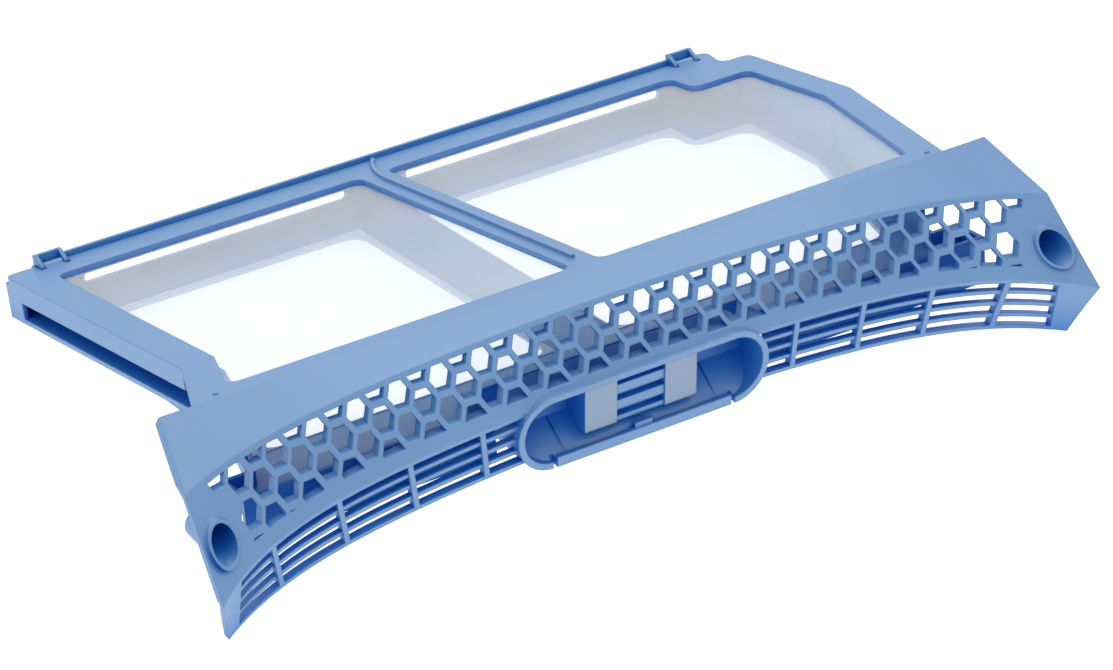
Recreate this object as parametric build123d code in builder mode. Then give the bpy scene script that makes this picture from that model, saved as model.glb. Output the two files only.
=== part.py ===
"""Tumble dryer lint filter: a moulded grille and frame with a hinged tray and four mesh screens.

The filter lies as it rests: the two front tips and the far lower edge of the tray stand on Z = 0.
X runs along the grille, -Y is the grille side, and the plate slopes down to the far side.
Plate sketches use X and the distance t away from the ridge where the plate meets the front band.
"""

import os
from math import asin, cos, degrees, radians, sin, sqrt

from build123d import *

os.makedirs("parts", exist_ok=True)

# Overall stance
plate_tilt = 14.0
half_length = 200.0

# Front band, honeycomb and slat face, measured at the middle of the grille from the ridge
ridge_half = 189.0
band_width = 18.0
face_setback = 36.0
slat_top_drop = 26.0
slat_height = 22.0
shell_wall = 2.4
slat_depth = 3.6
slat_recess = 0.8

# Arch of the grille and the forward flare of its ends
arch_radius = 1300.0
flare_depth = 29.0
flare_power = 6
band_flare_share = 0.56
band_arch_share = 0.85
tip_flare_share = 0.8
tip_arch_share = 1.18
band_end_half = 196.5
tip_half = 193.0

# Honeycomb
hex_column_pitch = 9.1
hex_rib = 2.1
hex_top_border = 1.8
hex_bottom_border = 4.4
hex_columns = 20
hex_rows = 4

# Slats and bars
slot_rows = 4
slat_thickness = 1.7
slat_border = 1.6
slot_half_span = 187.0
bar_width = 2.3
bar_first = 71.3
bar_pitch = 31.6
bar_count = 4
bar_fan_radius = 760.0

# Handle
handle_half = 57.5
handle_radius = 16.2
handle_drop = 38.8
handle_rim = 2.7
rim_proud = 2.0
handle_depth = 14.5
handle_wall = 2.0
scoop_rise = 10.0
bridge_half = 25.7
bridge_recess = 1.2
bridge_bottom_gap = 5.6
bridge_slot_half = 11.0
bridge_slat_recess = 0.8
bridge_slots = 3
bridge_slot = 3.0
bridge_slot_depth = 3.0
notch_half = 41.0
notch_width = 1.8
lip_rise = 1.6
slit_half = 35.0
slit_width = 0.8
slit_depth = 1.0
tab_half = 4.0
tab_height = 2.0

# End bores
bore_x = 189.5
bore_drop = 28.0
bore_radius = 5.7
bore_wall = 1.0
bore_back = 30.4
bore_proud = 1.4

# Plate
plate_thickness = 2.5
plate_depth = 193.0
left_edge = 160.0
left_flare_edge = 175.0
left_flare_start = 37.0
right_edge = 193.0
right_front = 168.0
right_knee = 99.0
right_step_x = 179.0
right_far_x = 183.5
right_step = 17.0
plate_corner = 4.0
pip_x = 163.0
pip_t = 4.0
pip_radius = 1.1
pip_height = 0.5

# Upper windows
window_front = 9.0
far_margin = 17.0
left_window_edge = 145.0
left_window_flare = 11.0
tray_window_flare = 9.0
left_window_chamfer_t = 30.0
divider_left = 3.6
divider_right = 9.2
right_window_edge = 180.0
right_window_front = 157.0
right_window_step_x = 152.0
right_window_step = 19.0
window_corner = 4.5
rib_width = 1.6
rib_height = 1.3
rib_bend = 30.0
rib_front_gap = 9.0
rib_swing = 9.0
rib_end_gap = 1.7

# Side channel and walls of the upper frame
channel_depth = 10.0
channel_height = 17.5
side_wall = 2.0
right_wall_inset = 7.0
right_wall_height = 14.0
edge_lip = 6.0
channel_web = 13.0

# Hinge
hinge_setback = 2.4
hinge_height = -0.6
barrel_radius = 2.0
pin_radius = 1.1
pin_clearance = 0.08
ear_width = 12.4
ear_rib = 1.7
ear_reach = 2.4
ear_top = 4.2
ear_clearance = 0.3
left_ear_x = -139.5
right_ear_x = 169.0
ear_notch_gap = 0.5
ear_swing = 1.6

# Tray
tray_angle = 6.0
tray_floor = 2.2
tray_wall = 2.0
tray_gap = 1.2
tray_top_gap = 0.8
wall_gap = 0.4
rail_height = 2.0
tray_front = -2.0
tray_side_front = 4.0
tray_flare = 11.0
wing_front = -20.0
wing_apron = 12.0
wing_inner = 62.0
wing_outer = 170.0
tray_inset = 9.0
tray_rim = 8.0
tray_corner = 8.0
far_slot_height = 3.6
far_slot_lift = 6.8
left_slot_from = -126.0
left_slot_to = -2.0
right_slot_from = 27.0
right_slot_to = 156.0

# Screens
screen_thickness = 0.4
screen_margin = 1.5

# Worked out from the sizes above
hex_side = hex_column_pitch / 1.5
hex_row_pitch = sqrt(3) * hex_side
tilt = radians(plate_tilt)


def arch(x):
    """Drop of the arched grille at x."""
    return arch_radius - sqrt(arch_radius**2 - x**2)


def flare(x):
    """Forward sweep of the grille's ends at x."""
    return flare_depth * abs(x / half_length) ** flare_power


slat_bottom_drop = slat_top_drop + slat_height
ridge_height = slat_bottom_drop + tip_arch_share * arch(tip_half)
wall_inner = plate_depth + wall_gap
wall_outer = wall_inner + tray_wall
far_reach = wall_outer * cos(tilt) + ear_top * sin(tilt)
ridge_y = (face_setback + flare(half_length) - far_reach) / 2
hinge_t = plate_depth - hinge_setback
ear_notch = hinge_setback + ear_reach + ear_swing
wall_depth = (ridge_height - wall_outer * sin(tilt)) / cos(tilt)
window_far = plate_depth - far_margin
through = 2 * plate_depth


def band_edge(x):
    """Front edge of the band at x, as y and z."""
    return ridge_y - band_width - band_flare_share * flare(x), ridge_height - band_arch_share * arch(x)


def slat_top(x):
    """Upper edge of the slat face at x, as y and z."""
    return ridge_y - face_setback - flare(x), ridge_height - slat_top_drop - arch(x)


def slat_bottom(x):
    """Lower edge of the slat face at x, as y and z."""
    y = ridge_y - face_setback - tip_flare_share * flare(x)
    return y, ridge_height - slat_bottom_drop - tip_arch_share * arch(x)


def share_height(x, share):
    """Height at x, a share of the way down the slat face."""
    return slat_top(x)[1] + share * (slat_bottom(x)[1] - slat_top(x)[1])


plate_plane = Plane(origin=(0, ridge_y, ridge_height), x_dir=(1, 0, 0), z_dir=(0, sin(tilt), cos(tilt)))
tray_pitch = radians(plate_tilt - tray_angle)
tray_origin = plate_plane.from_local_coords((0, wall_outer, -wall_depth))
tray_plane = Plane(origin=tray_origin, x_dir=(1, 0, 0), z_dir=(0, sin(tray_pitch), cos(tray_pitch)))
front_view = Plane.XZ
wall_view = Plane(origin=tray_origin, x_dir=(1, 0, 0), z_dir=(0, -cos(tilt), sin(tilt)))
channel_wall = -left_edge + channel_depth


def shell_profile(x):
    """Section of the band, honeycomb wall and slat face at x."""
    by, bz = band_edge(x)
    cy, cz = slat_top(x)
    dy, dz = slat_bottom(x)
    return [
        (ridge_y, ridge_height),
        (by, bz),
        (cy, cz),
        (dy, dz),
        (dy + slat_depth, dz),
        (cy + slat_depth, cz - shell_wall / 2),
        (by + shell_wall / 2, bz - shell_wall),
        (ridge_y, ridge_height - shell_wall),
    ]


def slat_skin_profile(x):
    """Section at x of what is taken off the slats, so that the bars stand proud."""
    cy, cz = slat_top(x)
    dy, dz = slat_bottom(x)
    return [
        (cy - slat_recess, cz),
        (dy - slat_recess, dz),
        (dy + slat_recess, dz),
        (cy + slat_recess, cz),
    ]


def boss_profile(x):
    """Section at x of the room that the bore's boss may fill, a little proud of the honeycomb wall."""
    by, bz = band_edge(x)
    cy, cz = slat_top(x)
    return [
        (by - bore_proud, bz + bore_proud),
        (cy - bore_proud, cz + bore_proud),
        (cy - bore_proud, cz - bore_proud),
        (ridge_y, cz - bore_proud),
        (ridge_y, bz + bore_proud),
    ]


def arch_points(height, half_span):
    """Three points of an arched line across the grille, where height(x) gives its level."""
    return (-half_span, height(half_span)), (0, height(0)), (half_span, height(half_span))


def right_side(inset):
    """Right side of the plate, inset, from the far step to the ridge, as X and t."""
    return [
        (right_edge - inset, plate_depth - right_step - inset / 2),
        (right_edge - inset, right_knee),
        (right_front - inset, 0),
    ]


def left_window(inset, flare_x):
    """Outline of a left window, inset all round, with its near corner flared outwards by flare_x."""
    left = -left_window_edge + inset
    return [
        (left, window_far - inset),
        (left, window_front + left_window_chamfer_t),
        (left - flare_x, window_front + inset),
        (-divider_left - inset, window_front + inset),
        (-divider_left - inset, window_far - inset),
    ]


def right_window(inset):
    """Outline of a right window, inset all round, with the step beside the hinge ear."""
    step_t = window_far - right_window_step
    return [
        (divider_right + inset, window_front + inset),
        (right_window_front - inset, window_front + inset),
        (right_window_edge - inset, right_knee),
        (right_window_edge - inset, step_t - inset),
        (right_window_step_x - inset, step_t - inset),
        (right_window_step_x - inset, window_far - inset),
        (divider_right + inset, window_far - inset),
    ]


def keep_bars_and_handle():
    """Leaves the bars and the handle out of the sketch that is being drawn."""
    for x, lean in bars:
        with Locations(Location((x, share_height(x, 0.5)), lean)):
            Rectangle(bar_width, 2 * slat_height, mode=Mode.SUBTRACT)
    with Locations((0, handle_z)):
        SlotOverall(2 * handle_half, 2 * handle_radius, mode=Mode.SUBTRACT)


def tray_coords(outline):
    """Points in X and t moved to the tray's own distance from its far edge."""
    return [(x, t - wall_outer) for x, t in outline]


tray_left = channel_wall + side_wall + tray_gap
tray_right_inset = right_wall_inset + side_wall + tray_gap
wall_right = right_ear_x + ear_width / 2
right_ear_side = wall_right + ear_notch_gap
tray_right = right_side(tray_right_inset)
tray_outline = [
    (tray_left, wall_outer),
    (tray_left, left_flare_start - side_wall),
    (tray_left - tray_flare, 0),
    (tray_left - tray_flare, tray_front),
    (-wing_outer, tray_front),
    (-wing_outer, wing_front),
    (-wing_inner, wing_front),
    (-wing_inner, tray_front),
    (wing_inner, tray_front),
    (wing_inner, wing_front),
    (wing_outer, wing_front),
    (wing_outer, tray_front),
    (tray_right[2][0], tray_front),
    *reversed(tray_right),
    (wall_right, tray_right[0][1]),
    (wall_right, wall_outer),
]

stations = [share * half_length for share in (-0.5, -0.25, 0, 0.25, 0.5, 0.68, 0.8, 0.9, 1)]

hex_centres = []
for column in range(hex_columns + 1):
    x = column * hex_column_pitch
    shift = column % 2 / 2
    first = band_edge(x)[1] - hex_top_border + hex_rib / 2
    rows = hex_rows if column < hex_columns else 1
    for row in range(rows):
        hex_centres.append((x, first - (row + shift) * hex_row_pitch))
hex_half_span = (hex_columns + 1) * hex_column_pitch

bars = []
for index in range(bar_count):
    x = bar_first + index * bar_pitch
    bars.append((x, -degrees(asin(x / bar_fan_radius))))

bore_end = bore_back - ridge_y
boss_stations = [share * half_length for share in (0.85, 0.9, 0.95, 1)]
hinge_origin = plate_plane.from_local_coords((0, hinge_t, hinge_height))
hinge_section = Plane(origin=hinge_origin, x_dir=(0, cos(tilt), -sin(tilt)), z_dir=(1, 0, 0))
face_y = ridge_y - face_setback
handle_z = ridge_height - handle_drop
cup_radius = handle_radius - handle_rim
cup_low = handle_z - cup_radius
bridge_low = cup_low + bridge_bottom_gap
bridge_height = 2 * cup_radius - bridge_bottom_gap
rim_front = Plane.XZ.offset(rim_proud - face_y)
bridge_front = Plane.XZ.offset(-face_y - bridge_recess)
bore_z = ridge_height - bore_drop
barrel_half = ear_width / 2 - ear_rib - ear_clearance

# Boss of the end bore, a little proud of the honeycomb wall
with BuildPart() as bore_boss:
    for x in boss_stations:
        with BuildSketch(Plane.YZ.offset(x)):
            with BuildLine():
                Polyline(*boss_profile(x), close=True)
            make_face()
    loft()
    with BuildSketch(Plane.XZ.offset(bore_end)):
        with Locations((bore_x, bore_z)):
            Circle(bore_radius + bore_wall)
    extrude(amount=half_length, mode=Mode.INTERSECT)

# Scooped floor of the handle's cup, with the slits beside its catch
with BuildPart() as scoop:
    with BuildSketch(Plane.YZ):
        with BuildLine():
            back_y = face_y + handle_depth
            scoop_foot = cup_low - handle_rim / 2
            scoop_top = cup_low + scoop_rise
            Polyline((face_y, cup_low), (face_y, scoop_foot), (back_y, scoop_foot), (back_y, scoop_top), close=True)
        make_face()
    extrude(amount=handle_half, both=True)
    for x in (-slit_half, slit_half):
        with BuildSketch(Plane.YZ.offset(x)):
            with BuildLine():
                Polyline((face_y, cup_low), (back_y, scoop_top), (back_y, scoop_top - slit_depth), close=True)
            make_face()
        extrude(amount=slit_width / 2, both=True, mode=Mode.SUBTRACT)
    with BuildSketch(Plane.XZ.offset(-face_y)):
        with Locations((0, handle_z)):
            SlotOverall(2 * (handle_half - handle_rim / 2), 2 * (cup_radius + handle_rim / 2))
    extrude(amount=-handle_depth, mode=Mode.INTERSECT)

# Shares of the slat face's height taken by its border, a slat and a slot
border = slat_border / slat_height
slat = slat_thickness / slat_height
slot = (1 - 2 * border - (slot_rows - 1) * slat) / slot_rows

# Skin taken off the front of the slats on the right half
with BuildPart() as slat_skin:
    for x in stations:
        with BuildSketch(Plane.YZ.offset(x)):
            with BuildLine():
                Polyline(*slat_skin_profile(x), close=True)
            make_face()
    loft()
    split(bisect_by=Plane.YZ)
    with BuildSketch(front_view):
        with BuildLine():
            upper = ThreePointArc(*arch_points(lambda x: share_height(x, border), slot_half_span))
            lower = ThreePointArc(*arch_points(lambda x: share_height(x, 1 - border), slot_half_span))
            Line(upper @ 0, lower @ 0)
            Line(upper @ 1, lower @ 1)
        make_face()
        keep_bars_and_handle()
    extrude(amount=through, both=True, mode=Mode.INTERSECT)

# Right half of the grille: band, honeycomb wall and slat face
with BuildPart() as half_grille:
    for x in stations:
        with BuildSketch(Plane.YZ.offset(x)):
            with BuildLine():
                Polyline(*shell_profile(x), close=True)
            make_face()
    loft()
    split(bisect_by=Plane.YZ)
    with BuildSketch(front_view):
        with BuildLine():
            past = 2 * half_length
            below = -ridge_height
            Polyline(
                (past, ridge_height),
                (ridge_half, ridge_height),
                (band_end_half, band_edge(band_end_half)[1]),
                (half_length, slat_top(half_length)[1]),
                (tip_half, 0),
                (tip_half, below),
                (past, below),
                close=True,
            )
        make_face()
        with Locations((0, handle_z)):
            SlotOverall(2 * (handle_half - handle_rim / 2), 2 * (handle_radius - handle_rim / 2))
    extrude(amount=through, both=True, mode=Mode.SUBTRACT)

    # Honeycomb, drawn along Y so that it is regular seen from the front
    with BuildSketch(front_view):
        with Locations(*hex_centres):
            RegularPolygon(hex_side - hex_rib / sqrt(3), 6)
        with BuildLine():
            upper = ThreePointArc(*arch_points(lambda x: band_edge(x)[1] - hex_top_border, hex_half_span))
            lower = ThreePointArc(*arch_points(lambda x: slat_top(x)[1] + hex_bottom_border, hex_half_span))
            Line(upper @ 0, lower @ 0)
            Line(upper @ 1, lower @ 1)
        make_face(mode=Mode.INTERSECT)
    extrude(amount=through, both=True, mode=Mode.SUBTRACT)

    # Arched slots between the slats, kept clear of the bars and the handle
    with BuildSketch(front_view):
        for row in range(slot_rows):
            start = border + row * (slot + slat)
            with BuildLine():
                upper = ThreePointArc(*arch_points(lambda x: share_height(x, start), slot_half_span))
                lower = ThreePointArc(*arch_points(lambda x: share_height(x, start + slot), slot_half_span))
                Line(upper @ 0, lower @ 0)
                Line(upper @ 1, lower @ 1)
            make_face()
        keep_bars_and_handle()
    extrude(amount=through, both=True, mode=Mode.SUBTRACT)
    add(slat_skin.part, mode=Mode.SUBTRACT)
    add(bore_boss.part)
    with BuildSketch(Plane.XZ.offset(bore_end + bore_wall)):
        with Locations((bore_x, bore_z)):
            Circle(bore_radius)
    extrude(amount=half_length, mode=Mode.SUBTRACT)

# Upper frame: plate, grille and handle in one moulding
with BuildPart() as upper_frame:
    # Top plate with its two windows
    with BuildSketch(plate_plane):
        with BuildLine():
            Polyline(
                (-left_flare_edge, 0),
                (-left_edge, left_flare_start),
                (-left_edge, plate_depth),
                (right_ear_side, plate_depth),
                (right_ear_side, wall_outer),
                (right_far_x, wall_outer),
                (right_step_x, plate_depth - right_step),
                *right_side(0),
                close=True,
            )
        make_face()
        far_corners = [v for v in vertices() if v.Y >= right_knee and not -left_edge < v.X < right_step_x]
        fillet(far_corners, radius=plate_corner)
        for outline in (left_window(0, left_window_flare), right_window(0)):
            with BuildLine():
                FilletPolyline(*outline, radius=window_corner, close=True)
            make_face(mode=Mode.SUBTRACT)
        for x in (left_ear_x, right_ear_x):
            with Locations((x, plate_depth)):
                Rectangle(ear_width + 2 * ear_notch_gap, 2 * ear_notch, mode=Mode.SUBTRACT)
    extrude(amount=-plate_thickness)

    # Raised rib along the divider, swinging to the right at its far end
    with BuildSketch(plate_plane):
        with BuildLine():
            rib_x = (divider_right - divider_left) / 2
            rib = Line((rib_x, window_front + rib_front_gap), (rib_x, plate_depth - rib_bend))
            TangentArc(rib @ 1, (rib_x + rib_swing, plate_depth - rib_end_gap), tangent=rib % 1)
        trace(line_width=rib_width)
    extrude(amount=rib_height)

    # Locating pips beside the grille's ends
    with BuildSketch(plate_plane):
        with Locations((-pip_x, pip_t), (pip_x, pip_t)):
            Circle(pip_radius)
    extrude(amount=pip_height)

    # Guide channel on the left side
    with BuildSketch(plate_plane.offset(-channel_height)):
        with Locations((channel_wall, left_flare_start)):
            Rectangle(side_wall, plate_depth - left_flare_start, align=(Align.MIN, Align.MIN))
    extrude(amount=channel_height - plate_thickness)
    with BuildSketch(plate_plane.offset(-channel_height)):
        with Locations((-left_edge, left_flare_start)):
            channel_width = channel_depth + side_wall
            Rectangle(channel_width, plate_depth - left_flare_start, align=(Align.MIN, Align.MIN))
    extrude(amount=side_wall)
    with BuildSketch(plate_plane.offset(-channel_height)):
        with Locations((-left_edge, plate_depth - side_wall)):
            Rectangle(channel_width, side_wall, align=(Align.MIN, Align.MIN))
        with Locations((-left_edge, plate_depth - channel_web)):
            Rectangle(side_wall, channel_web, align=(Align.MIN, Align.MIN))
    extrude(amount=channel_height - plate_thickness)
    with BuildSketch(plate_plane.offset(-plate_thickness)):
        with Locations((-left_edge, left_flare_start)):
            Rectangle(side_wall, plate_depth - left_flare_start, align=(Align.MIN, Align.MIN))
    extrude(amount=-edge_lip)

    # Side wall under the right edge
    with BuildSketch(plate_plane.offset(-right_wall_height)):
        with BuildLine():
            Polyline(
                *right_side(right_wall_inset),
                *reversed(right_side(right_wall_inset + side_wall)),
                close=True,
            )
        make_face()
    extrude(amount=right_wall_height - plate_thickness)

    # Handle: rim and cup, with a scooped floor that rises to the back
    with BuildSketch(rim_front):
        with Locations((0, handle_z)):
            SlotOverall(2 * handle_half, 2 * handle_radius)
    extrude(amount=-rim_proud - handle_depth - handle_wall)
    with BuildSketch(rim_front):
        with Locations((0, handle_z)):
            SlotOverall(2 * (handle_half - handle_rim), 2 * cup_radius)
    extrude(amount=-rim_proud - handle_depth, mode=Mode.SUBTRACT)
    add(scoop.part)

    # Bridge across the cup, with slats let into its middle
    with BuildSketch(bridge_front):
        with Locations((0, bridge_low)):
            Rectangle(2 * bridge_half, bridge_height, align=(Align.CENTER, Align.MIN))
    extrude(amount=bridge_recess - handle_depth)
    with BuildSketch(bridge_front):
        with Locations((0, bridge_low)):
            Rectangle(2 * bridge_slot_half, bridge_height, align=(Align.CENTER, Align.MIN))
    extrude(amount=-bridge_slat_recess, mode=Mode.SUBTRACT)
    with BuildSketch(bridge_front):
        with GridLocations(0, bridge_height / bridge_slots, 1, bridge_slots):
            with Locations((0, bridge_low + bridge_height / 2)):
                Rectangle(2 * bridge_slot_half, bridge_slot)
    extrude(amount=-bridge_slat_recess - bridge_slot_depth, mode=Mode.SUBTRACT)

    # Catch lip along the cup's front edge, freed by two notches, with a tab on its middle
    with BuildSketch(rim_front):
        with Locations((0, cup_low - handle_rim / 2)):
            Rectangle(2 * notch_half, lip_rise + handle_rim / 2, align=(Align.CENTER, Align.MIN))
    extrude(amount=-handle_wall)
    with BuildSketch(rim_front.offset(-handle_wall / 2)):
        with Locations((0, cup_low + lip_rise)):
            Rectangle(2 * tab_half, tab_height, align=(Align.CENTER, Align.MIN))
        with Locations((0, cup_low + lip_rise)):
            Rectangle(2 * tab_half, lip_rise, align=(Align.CENTER, Align.MAX))
    extrude(amount=-handle_wall)
    with BuildSketch(rim_front):
        with Locations((-notch_half, cup_low), (notch_half, cup_low)):
            Rectangle(notch_width, 2 * handle_rim + 2 * lip_rise)
    extrude(amount=-rim_proud - handle_wall, mode=Mode.SUBTRACT)

    # Hinge barrels on tongues of the plate, with stub pins at both ends
    for x in (left_ear_x, right_ear_x):
        with BuildSketch(hinge_section.offset(x)):
            Circle(barrel_radius)
        extrude(amount=barrel_half, both=True)
        with BuildSketch(hinge_section.offset(x)):
            Circle(pin_radius)
        extrude(amount=ear_width / 2, both=True)
        with BuildSketch(plate_plane):
            with Locations((x, hinge_t)):
                Rectangle(2 * barrel_half, ear_notch, align=(Align.CENTER, Align.MAX))
        extrude(amount=-plate_thickness)

    add(half_grille.part)
    add(half_grille.part.mirror(Plane.YZ))
upper_frame.part.label = "upper_frame"
export_step(upper_frame.part, "parts/upper_frame.step")

# Lower frame: tray with far wall, hinge ears and two windows
with BuildPart() as lower_frame:
    # Low rim all round, and side walls that reach up to the plate
    with BuildSketch(tray_plane):
        with BuildLine():
            Polyline(*tray_coords(tray_outline), close=True)
        make_face()
        offset(amount=-tray_wall, kind=Kind.INTERSECTION, mode=Mode.SUBTRACT)
    extrude(amount=tray_rim)
    with BuildSketch(tray_plane):
        with BuildLine():
            Polyline(*tray_coords(tray_outline), close=True)
        make_face()
        offset(amount=-tray_wall, kind=Kind.INTERSECTION, mode=Mode.SUBTRACT)
        with Locations((0, tray_side_front - wall_outer)):
            side_run = wall_inner - tray_side_front
            Rectangle(2 * half_length, side_run, align=(Align.CENTER, Align.MIN), mode=Mode.INTERSECT)
    extrude(amount=plate_depth / 4)
    with BuildSketch(plate_plane.offset(-plate_thickness - screen_thickness - tray_top_gap)):
        Rectangle(4 * half_length, 4 * plate_depth)
    extrude(amount=plate_depth, mode=Mode.SUBTRACT)

    # Apron that hangs from the front of the wings, behind the slats
    with BuildSketch(tray_plane):
        wing_middle = (wing_inner + wing_outer) / 2
        with Locations((-wing_middle, wing_front - wall_outer), (wing_middle, wing_front - wall_outer)):
            Rectangle(wing_outer - wing_inner, tray_wall, align=(Align.CENTER, Align.MIN))
    extrude(amount=-wing_apron)

    # Floor with the two lower windows
    with BuildSketch(tray_plane):
        with BuildLine():
            Polyline(*tray_coords(tray_outline), close=True)
        make_face()
        for outline in (left_window(tray_inset, tray_window_flare), right_window(tray_inset)):
            with BuildLine():
                FilletPolyline(*tray_coords(outline), radius=tray_corner, close=True)
            make_face(mode=Mode.SUBTRACT)
    extrude(amount=tray_floor)

    # Far wall with two long slots, and the rail that stands behind the plate's far edge
    with BuildSketch(wall_view):
        with Locations((tray_left, 0)):
            Rectangle(wall_right - tray_left, wall_depth, align=(Align.MIN, Align.MIN))
        with Locations((left_ear_x, wall_depth)):
            Rectangle(right_ear_x - left_ear_x, rail_height, align=(Align.MIN, Align.MIN))
    extrude(amount=tray_wall)
    with BuildSketch(wall_view):
        for start, end in ((left_slot_from, left_slot_to), (right_slot_from, right_slot_to)):
            with Locations(((start + end) / 2, far_slot_lift)):
                SlotOverall(end - start, far_slot_height)
    extrude(amount=2 * tray_wall, mode=Mode.SUBTRACT)

    # Hinge ears: a back wall and two ribs that slope down to the pin holes
    for x in (left_ear_x, right_ear_x):
        with BuildSketch(wall_view):
            with Locations((x, wall_depth)):
                Rectangle(ear_width, ear_top, align=(Align.CENTER, Align.MIN))
        extrude(amount=tray_wall)
        for side in (-1, 1):
            with BuildSketch(hinge_section.offset(x + side * (ear_width - ear_rib) / 2)):
                Circle(ear_reach)
                with Locations((wall_outer - hinge_t, ear_top - hinge_height)):
                    Rectangle(tray_wall, ear_top - hinge_height + ear_reach, align=(Align.MAX, Align.MAX))
                make_hull()
                Circle(pin_radius + pin_clearance, mode=Mode.SUBTRACT)
            extrude(amount=ear_rib / 2, both=True)
lower_frame.part.label = "lower_frame"
export_step(lower_frame.part, "parts/lower_frame.step")

# Mesh screens: two bonded under the plate, two on the tray's floor
under_plate = plate_plane.offset(-plate_thickness - screen_thickness)
on_floor = tray_plane.offset(tray_floor)
floor_inset = tray_inset - screen_margin
screen_plans = {
    "upper_left_screen": (under_plate, left_window(-screen_margin, left_window_flare)),
    "upper_right_screen": (under_plate, right_window(-screen_margin)),
    "lower_left_screen": (on_floor, tray_coords(left_window(floor_inset, tray_window_flare))),
    "lower_right_screen": (on_floor, tray_coords(right_window(floor_inset))),
}
for name, (plane, outline) in screen_plans.items():
    with BuildPart() as screen:
        with BuildSketch(plane):
            with BuildLine():
                Polyline(*outline, close=True)
            make_face()
        extrude(amount=screen_thickness)
    screen.part.label = name
    export_step(screen.part, f"parts/{name}.step")
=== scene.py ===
"""Looks of the tumble dryer lint filter: satin blue mouldings and fine white mesh on a pale floor."""

import math

import bmesh
import bpy
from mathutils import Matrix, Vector, noise


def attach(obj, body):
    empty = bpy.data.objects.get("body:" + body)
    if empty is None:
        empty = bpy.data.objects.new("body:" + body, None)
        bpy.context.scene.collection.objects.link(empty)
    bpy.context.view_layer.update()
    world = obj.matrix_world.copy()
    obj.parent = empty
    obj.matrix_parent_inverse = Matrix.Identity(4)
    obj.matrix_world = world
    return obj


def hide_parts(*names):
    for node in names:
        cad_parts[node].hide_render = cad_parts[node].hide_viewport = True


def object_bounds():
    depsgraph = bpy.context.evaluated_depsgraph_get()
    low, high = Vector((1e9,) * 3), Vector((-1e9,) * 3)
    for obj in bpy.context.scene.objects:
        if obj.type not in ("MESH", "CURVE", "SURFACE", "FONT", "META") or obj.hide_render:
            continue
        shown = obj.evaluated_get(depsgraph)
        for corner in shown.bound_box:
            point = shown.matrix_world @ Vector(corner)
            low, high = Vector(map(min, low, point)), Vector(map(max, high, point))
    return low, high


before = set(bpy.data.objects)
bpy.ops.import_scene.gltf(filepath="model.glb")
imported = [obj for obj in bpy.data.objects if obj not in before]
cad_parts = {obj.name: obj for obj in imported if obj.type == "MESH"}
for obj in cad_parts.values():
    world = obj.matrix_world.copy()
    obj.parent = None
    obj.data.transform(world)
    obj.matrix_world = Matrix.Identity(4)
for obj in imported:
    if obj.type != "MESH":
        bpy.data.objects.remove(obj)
cad_low, cad_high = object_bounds()

# Camera, fitted to the photograph's frame, with its target under the ridge of the grille
PHOTO_WIDTH = 1113
FOCAL_PIXELS = 4500
SENSOR_WIDTH = 36.0
CAMERA_AZIMUTH = math.radians(-32.81)
CAMERA_ELEVATION = math.radians(32.52)
CAMERA_DISTANCE = 1.733
TARGET_X = -0.0162
RIDGE_Y = -0.0628
TARGET_DROP = 0.024

# Slopes of the plate and of the tray's floor
PLATE_TILT = math.radians(14.0)
TRAY_TILT = math.radians(8.0)

# Cutting a screen's upper face out of its solid, by its least cosine to the slope's normal, and into cells
FACING_UP = 0.9
MERGE_DISTANCE = 1e-6
COPLANAR_ANGLE = 0.02
MESH_CELL = 0.006

# Faint ripples of the mesh
RIPPLE_HEIGHT = 0.00022
RIPPLE_LENGTH = 0.035
RIPPLE_TAPER = 0.012

# Weave of the mesh; light passes where the threads' height is under the gap height
THREAD_PITCH = 0.00032
THREAD_WIDTH_SHARE = 0.27
THREAD_BUMP = 0.3
THREAD_RELIEF = 0.00005
GAP_HEIGHT = 0.001
MESH_DULL = (0.8, 0.885, 0.89)
MESH_BRIGHT = (0.86, 0.92, 0.92)
MESH_SHADE_SCALE = 25
MESH_ROUGHNESS = 0.55

# Colours of the mouldings, for the deeper and the paler flow marks
BLUE_DEEP = (0.033, 0.182, 0.435)
BLUE_PALE = (0.037, 0.192, 0.455)
FLOW_SCALE = 18
FLOW_DETAIL = 3
UPPER_IOR = 1.75
LOWER_IOR = 1.6
UPPER_EDGE = 0.001
LOWER_EDGE = 0.0006
EDGE_SAMPLES = 6

# Fine grain of the mouldings
GRAIN_SCALE = 1900
GRAIN_BUMP = 0.1
GRAIN_RELIEF = 0.0001
ROUGHNESS_LOW = 0.38
ROUGHNESS_HIGH = 0.54

# Painted shade in the hollows of the mouldings: deeper blue and less gloss where little of the
# surroundings is open
SHADED_HOLLOW_BLUE = (0.008, 0.14, 0.54)
HOLLOW_REACH = 0.03
HOLLOW_SAMPLES = 8
HOLLOW_CLOSED = 0.24
HOLLOW_OPEN = 0.74
SHADED_HOLLOW_GLOSS = 0.05

# Flats beside the slats of the handle's bridge, painted pale grey as a painted sheen of reflected light:
# reach from the middle, and reach in Y
FLAT_SHEEN_GREY = (0.13, 0.225, 0.38)
FLAT_ACROSS = (0.0112, 0.0256)
FLAT_DEPTH = (-0.0982, -0.0974)

# Detail of the noises other than the flow marks, and the part of a noise over which a colour changes
NOISE_DETAIL = 2
RAMP_LOW = 0.35
RAMP_HIGH = 0.65

# Floor
FLOOR_HALF = 4.0
FLOOR_GLOW = 1.0
FLOOR_DULL = (0.3, 0.3, 0.3)
FLOOR_BRIGHT = (0.33, 0.33, 0.33)
FLOOR_MOTTLE_SCALE = 3
FLOOR_ROUGHNESS = 0.8
FLOOR_GLOSS = 0.2

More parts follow.
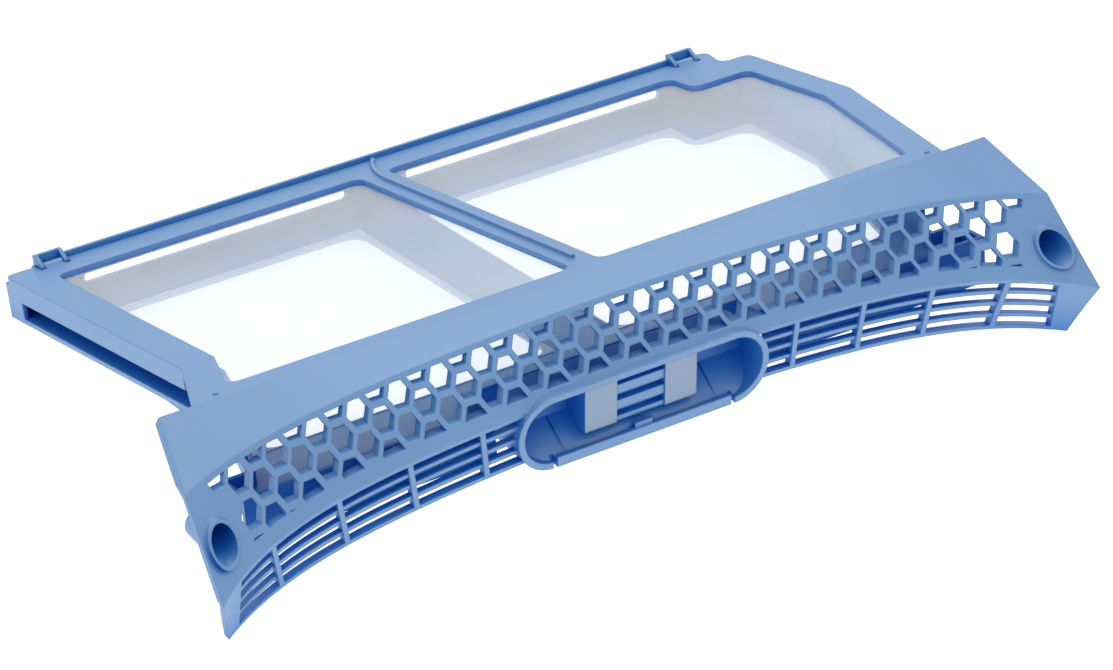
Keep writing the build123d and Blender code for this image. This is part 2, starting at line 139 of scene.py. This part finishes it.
# Light: the sky's strength at the horizon, what it gains overhead and behind, and one softbox
SKY_HORIZON = 0.85
SKY_ZENITH = 0.3
SKY_BACK = 0.1
SOFTBOX_PLACE = Vector((0.5, 0.9, 1.6))
SOFTBOX_SIZE = 1.6
SOFTBOX_POWER = 6
WHITE = (1, 1, 1, 1)


def new_material(name):
    """Node material with only a shader and its output, as material, node tree and shader."""
    material = bpy.data.materials.new(name)
    material.use_nodes = True
    tree = material.node_tree
    tree.nodes.clear()
    output = tree.nodes.new("ShaderNodeOutputMaterial")
    shader = tree.nodes.new("ShaderNodeBsdfPrincipled")
    tree.links.new(shader.outputs["BSDF"], output.inputs["Surface"])
    return material, tree, shader


def coords_node(tree, kind):
    """Texture coordinates of one kind."""
    return tree.nodes.new("ShaderNodeTexCoord").outputs[kind]


def split_node(tree, vector):
    """X, Y and Z of a vector."""
    parts = tree.nodes.new("ShaderNodeSeparateXYZ")
    tree.links.new(vector, parts.inputs["Vector"])
    return parts.outputs["X"], parts.outputs["Y"], parts.outputs["Z"]


def noise_node(tree, scale, detail):
    """Noise over object coordinates, in cycles per metre."""
    texture = tree.nodes.new("ShaderNodeTexNoise")
    texture.inputs["Scale"].default_value = scale
    texture.inputs["Detail"].default_value = detail
    tree.links.new(coords_node(tree, "Object"), texture.inputs["Vector"])
    return texture.outputs[0]


def ramp_node(tree, factor, low, high):
    """Colour ramp from low to high over the middle of a factor."""
    ramp = tree.nodes.new("ShaderNodeValToRGB")
    stops = ((RAMP_LOW, low), (RAMP_HIGH, high))
    for element, (position, colour) in zip(ramp.color_ramp.elements, stops):
        element.position = position
        element.color = (*colour, 1)
    tree.links.new(factor, ramp.inputs["Fac"])
    return ramp.outputs["Color"]


def range_node(tree, factor, low, high, start=0.0, stop=1.0):
    """Maps a factor from start to stop onto low to high."""
    mapped = tree.nodes.new("ShaderNodeMapRange")
    mapped.inputs["From Min"].default_value = start
    mapped.inputs["From Max"].default_value = stop
    mapped.inputs["To Min"].default_value = low
    mapped.inputs["To Max"].default_value = high
    tree.links.new(factor, mapped.inputs["Value"])
    return mapped.outputs["Result"]


def math_node(tree, operation, first, second=0.0, clamp=False):
    """Math node on two values, each a number or a socket."""
    node = tree.nodes.new("ShaderNodeMath")
    node.operation = operation
    node.use_clamp = clamp
    for socket, value in zip(node.inputs, (first, second)):
        if isinstance(value, (int, float)):
            socket.default_value = value
        else:
            tree.links.new(value, socket)
    return node.outputs[0]


def mix_node(tree, factor, first, second):
    """Mix from the first colour to the second, each three numbers or a socket."""
    node = tree.nodes.new("ShaderNodeMixRGB")
    tree.links.new(factor, node.inputs["Fac"])
    for name, colour in (("Color1", first), ("Color2", second)):
        if isinstance(colour, tuple):
            node.inputs[name].default_value = (*colour, 1)
        else:
            tree.links.new(colour, node.inputs[name])
    return node.outputs["Color"]


def bump_node(tree, height, strength, relief):
    """Bump node for a height."""
    bump = tree.nodes.new("ShaderNodeBump")
    bump.inputs["Strength"].default_value = strength
    bump.inputs["Distance"].default_value = relief
    tree.links.new(height, bump.inputs["Height"])
    return bump


def sheen_flat_mask(tree):
    """1 on the flats beside the slats of the handle's bridge, where a pale grey is painted as a painted
    sheen, 0 elsewhere.
    """
    x, y, _ = split_node(tree, coords_node(tree, "Object"))
    across = math_node(tree, "ABSOLUTE", x)
    mask = math_node(tree, "GREATER_THAN", across, FLAT_ACROSS[0])
    other_tests = [
        math_node(tree, "LESS_THAN", across, FLAT_ACROSS[1]),
        math_node(tree, "GREATER_THAN", y, FLAT_DEPTH[0]),
        math_node(tree, "LESS_THAN", y, FLAT_DEPTH[1]),
    ]
    for test in other_tests:
        mask = math_node(tree, "MULTIPLY", mask, test)
    return mask


def open_share(tree):
    """0 deep in a hollow, 1 on open faces."""
    hollows = tree.nodes.new("ShaderNodeAmbientOcclusion")
    hollows.samples = HOLLOW_SAMPLES
    hollows.inputs["Distance"].default_value = HOLLOW_REACH
    return range_node(tree, hollows.outputs["AO"], 0, 1, HOLLOW_CLOSED, HOLLOW_OPEN)


def moulded_plastic(name, edge_radius, ior):
    """Satin plastic with painted shade in its hollows (a deeper blue and less gloss), a fine grain, flats
    painted pale grey as a painted sheen, and softened edges.
    """
    material, tree, shader = new_material(name)
    openness = open_share(tree)
    flow = noise_node(tree, FLOW_SCALE, FLOW_DETAIL)
    # Painted shade: the colour goes from the flow marks to a deeper blue where the surroundings are closed
    flow_and_shade_tint = mix_node(tree, openness, SHADED_HOLLOW_BLUE, ramp_node(tree, flow, BLUE_DEEP, BLUE_PALE))
    # Painted sheen: the bridge's flats get a pale grey in place of the white reflection they catch
    tree.links.new(mix_node(tree, sheen_flat_mask(tree), flow_and_shade_tint, FLAT_SHEEN_GREY), shader.inputs["Base Color"])
    # Painted shade: the gloss drops in the hollows
    tree.links.new(range_node(tree, openness, SHADED_HOLLOW_GLOSS, 1), shader.inputs["Specular IOR Level"])
    shader.inputs["IOR"].default_value = ior
    grain = noise_node(tree, GRAIN_SCALE, NOISE_DETAIL)
    tree.links.new(range_node(tree, grain, ROUGHNESS_LOW, ROUGHNESS_HIGH), shader.inputs["Roughness"])
    rounded = tree.nodes.new("ShaderNodeBevel")
    rounded.samples = EDGE_SAMPLES
    rounded.inputs["Radius"].default_value = edge_radius
    bump = bump_node(tree, grain, GRAIN_BUMP, GRAIN_RELIEF)
    tree.links.new(rounded.outputs["Normal"], bump.inputs["Normal"])
    tree.links.new(bump.outputs["Normal"], shader.inputs["Normal"])
    return material


def thread_profile(tree, coordinate):
    """Height of one set of parallel threads, 1 on a thread's crown and 0 in the gaps."""
    across = math_node(tree, "FRACT", math_node(tree, "MULTIPLY", coordinate, 1 / THREAD_PITCH))
    distance = math_node(tree, "ABSOLUTE", math_node(tree, "SUBTRACT", across, 0.5))
    inside = math_node(tree, "DIVIDE", distance, THREAD_WIDTH_SHARE / 2)
    squared = math_node(tree, "MULTIPLY", inside, inside)
    return math_node(tree, "SUBTRACT", 1.0, squared, clamp=True)


def mesh_cloth(name):
    """Fine white woven mesh: crossed threads with open gaps that let light through."""
    material, tree, shader = new_material(name)
    u, v, _ = split_node(tree, tree.nodes.new("ShaderNodeUVMap").outputs["UV"])
    height = math_node(tree, "MAXIMUM", thread_profile(tree, u), thread_profile(tree, v))
    tree.links.new(math_node(tree, "GREATER_THAN", height, GAP_HEIGHT), shader.inputs["Alpha"])
    shade = noise_node(tree, MESH_SHADE_SCALE, NOISE_DETAIL)
    tree.links.new(ramp_node(tree, shade, MESH_DULL, MESH_BRIGHT), shader.inputs["Base Color"])
    shader.inputs["Roughness"].default_value = MESH_ROUGHNESS
    bump = bump_node(tree, height, THREAD_BUMP, THREAD_RELIEF)
    tree.links.new(bump.outputs["Normal"], shader.inputs["Normal"])
    return material


def floor_paint(name):
    """Pale light table with a barely seen mottle."""
    material, tree, shader = new_material(name)
    mottle = noise_node(tree, FLOOR_MOTTLE_SCALE, NOISE_DETAIL)
    tree.links.new(ramp_node(tree, mottle, FLOOR_DULL, FLOOR_BRIGHT), shader.inputs["Base Color"])
    shader.inputs["Roughness"].default_value = FLOOR_ROUGHNESS
    shader.inputs["Specular IOR Level"].default_value = FLOOR_GLOSS
    shader.inputs["Emission Color"].default_value = WHITE
    shader.inputs["Emission Strength"].default_value = FLOOR_GLOW
    return material


def dress(node, material):
    """Gives a CAD node one material."""
    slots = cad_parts[node].data.materials
    slots.clear()
    slots.append(material)


def upper_face(node, normal):
    """The faces of a node that look along the normal, joined up, in a new bmesh."""
    mesh = bmesh.new()
    mesh.from_mesh(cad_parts[node].data)
    mesh.normal_update()
    others = [face for face in mesh.faces if face.normal.dot(normal) < FACING_UP]
    bmesh.ops.delete(mesh, geom=others, context="FACES")
    bmesh.ops.remove_doubles(mesh, verts=mesh.verts, dist=MERGE_DISTANCE)
    bmesh.ops.dissolve_limit(mesh, angle_limit=COPLANAR_ANGLE, verts=mesh.verts, edges=mesh.edges)
    return mesh


def cut_cells(mesh, directions):
    """Cuts a flat mesh into cells along each direction, and gives its spans along them."""
    spans = []
    for direction in directions:
        reach = [vert.co.dot(direction) for vert in mesh.verts]
        start = min(reach)
        span = max(reach) - start
        spans.append(span)
        for index in range(1, int(span / MESH_CELL) + 1):
            place = direction * (start + index * MESH_CELL)
            geometry = mesh.verts[:] + mesh.edges[:] + mesh.faces[:]
            bmesh.ops.bisect_plane(
                mesh, geom=geometry, plane_co=place, plane_no=direction, dist=MERGE_DISTANCE
            )
    return spans


def lay_threads(mesh, downhill):
    """UVs for the weave, in metres along X and down the slope."""
    uv = mesh.loops.layers.uv.new("cloth")
    for face in mesh.faces:
        face.smooth = True
        for loop in face.loops:
            loop[uv].uv = (loop.vert.co.x, loop.vert.co.dot(downhill))


def segment_distance(point, start, end):
    """Distance from a point to a segment."""
    along = end - start
    share = max(0.0, min(1.0, (point - start).dot(along) / along.length_squared))
    return (point - start - share * along).length


def ripple(mesh, border, normal):
    """Faint waves that fade towards the held border."""
    for vert in mesh.verts:
        edge_distance = min(segment_distance(vert.co, start, end) for start, end in border)
        taper = min(1.0, edge_distance / RIPPLE_TAPER)
        vert.co += normal * (taper * RIPPLE_HEIGHT * noise.noise(vert.co / RIPPLE_LENGTH))


def screen_cloth(node, tilt, name, body, material):
    """Stretched mesh with faint ripples, in place of a screen's solid."""
    normal = Vector((0, math.sin(tilt), math.cos(tilt)))
    downhill = Vector((0, math.cos(tilt), -math.sin(tilt)))
    mesh = upper_face(node, normal)
    border = [[vert.co.copy() for vert in edge.verts] for edge in mesh.edges if edge.is_boundary]
    area = sum(face.calc_area() for face in mesh.faces)
    spans = cut_cells(mesh, (Vector((1, 0, 0)), downhill))
    lay_threads(mesh, downhill)
    ripple(mesh, border, normal)
    data = bpy.data.meshes.new(name)
    mesh.to_mesh(data)
    mesh.free()
    data.materials.append(material)
    piece = bpy.data.objects.new(name, data)
    bpy.context.collection.objects.link(piece)
    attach(piece, body)
    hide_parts(node)


def set_floor():
    """Square floor under the filter."""
    mesh = bpy.data.meshes.new("floor")
    signs = ((-1, -1), (1, -1), (1, 1), (-1, 1))
    corners = [(x * FLOOR_HALF, y * FLOOR_HALF, 0) for x, y in signs]
    mesh.from_pydata(corners, [], [(0, 1, 2, 3)])
    mesh.materials.append(floor_paint("pale_floor"))
    floor = bpy.data.objects.new("floor", mesh)
    bpy.context.collection.objects.link(floor)


def set_light():
    """Soft sky, brighter overhead and behind, with one softbox aimed at the origin, and plain colours."""
    world = bpy.data.worlds.new("studio")
    bpy.context.scene.world = world
    world.use_nodes = True
    tree = world.node_tree
    _, y, z = split_node(tree, coords_node(tree, "Generated"))
    rise = math_node(tree, "MULTIPLY", z, SKY_ZENITH)
    back = math_node(tree, "MULTIPLY", y, SKY_BACK)
    level = math_node(tree, "ADD", math_node(tree, "ADD", rise, back), SKY_HORIZON)
    background = tree.nodes["Background"]
    background.inputs["Color"].default_value = WHITE
    tree.links.new(level, background.inputs["Strength"])

    light = bpy.data.lights.new("top_softbox", "AREA")
    light.size = SOFTBOX_SIZE
    light.energy = SOFTBOX_POWER
    lamp = bpy.data.objects.new("top_softbox", light)
    lamp.location = SOFTBOX_PLACE
    lamp.rotation_mode = "QUATERNION"
    lamp.rotation_quaternion = (-SOFTBOX_PLACE).to_track_quat("-Z", "Y")
    bpy.context.collection.objects.link(lamp)
    bpy.context.scene.view_settings.view_transform = "Standard"


def set_camera():
    """Camera at the photograph's viewing angle."""
    data = bpy.data.cameras.new("camera")
    data.sensor_width = SENSOR_WIDTH
    data.lens = SENSOR_WIDTH * FOCAL_PIXELS / PHOTO_WIDTH
    camera = bpy.data.objects.new("camera", data)
    level = math.cos(CAMERA_ELEVATION)
    sideways = math.sin(CAMERA_AZIMUTH) * level
    forwards = -math.cos(CAMERA_AZIMUTH) * level
    direction = Vector((sideways, forwards, math.sin(CAMERA_ELEVATION)))
    target = Vector((TARGET_X, RIDGE_Y, cad_high.z - TARGET_DROP))
    camera.location = target + CAMERA_DISTANCE * direction
    camera.rotation_mode = "QUATERNION"
    camera.rotation_quaternion = (-direction).to_track_quat("-Z", "Y")
    bpy.context.collection.objects.link(camera)
    bpy.context.scene.camera = camera


dress("upper_frame", moulded_plastic("upper_blue_plastic", UPPER_EDGE, UPPER_IOR))
dress("lower_frame", moulded_plastic("lower_blue_plastic", LOWER_EDGE, LOWER_IOR))
white_mesh = mesh_cloth("white_mesh")
for side in ("left", "right"):
    for body, tilt in (("upper", PLATE_TILT), ("lower", TRAY_TILT)):
        screen_cloth(f"{body}_{side}_screen", tilt, f"{body}_{side}_mesh", body, white_mesh)
set_floor()
set_light()
set_camera()
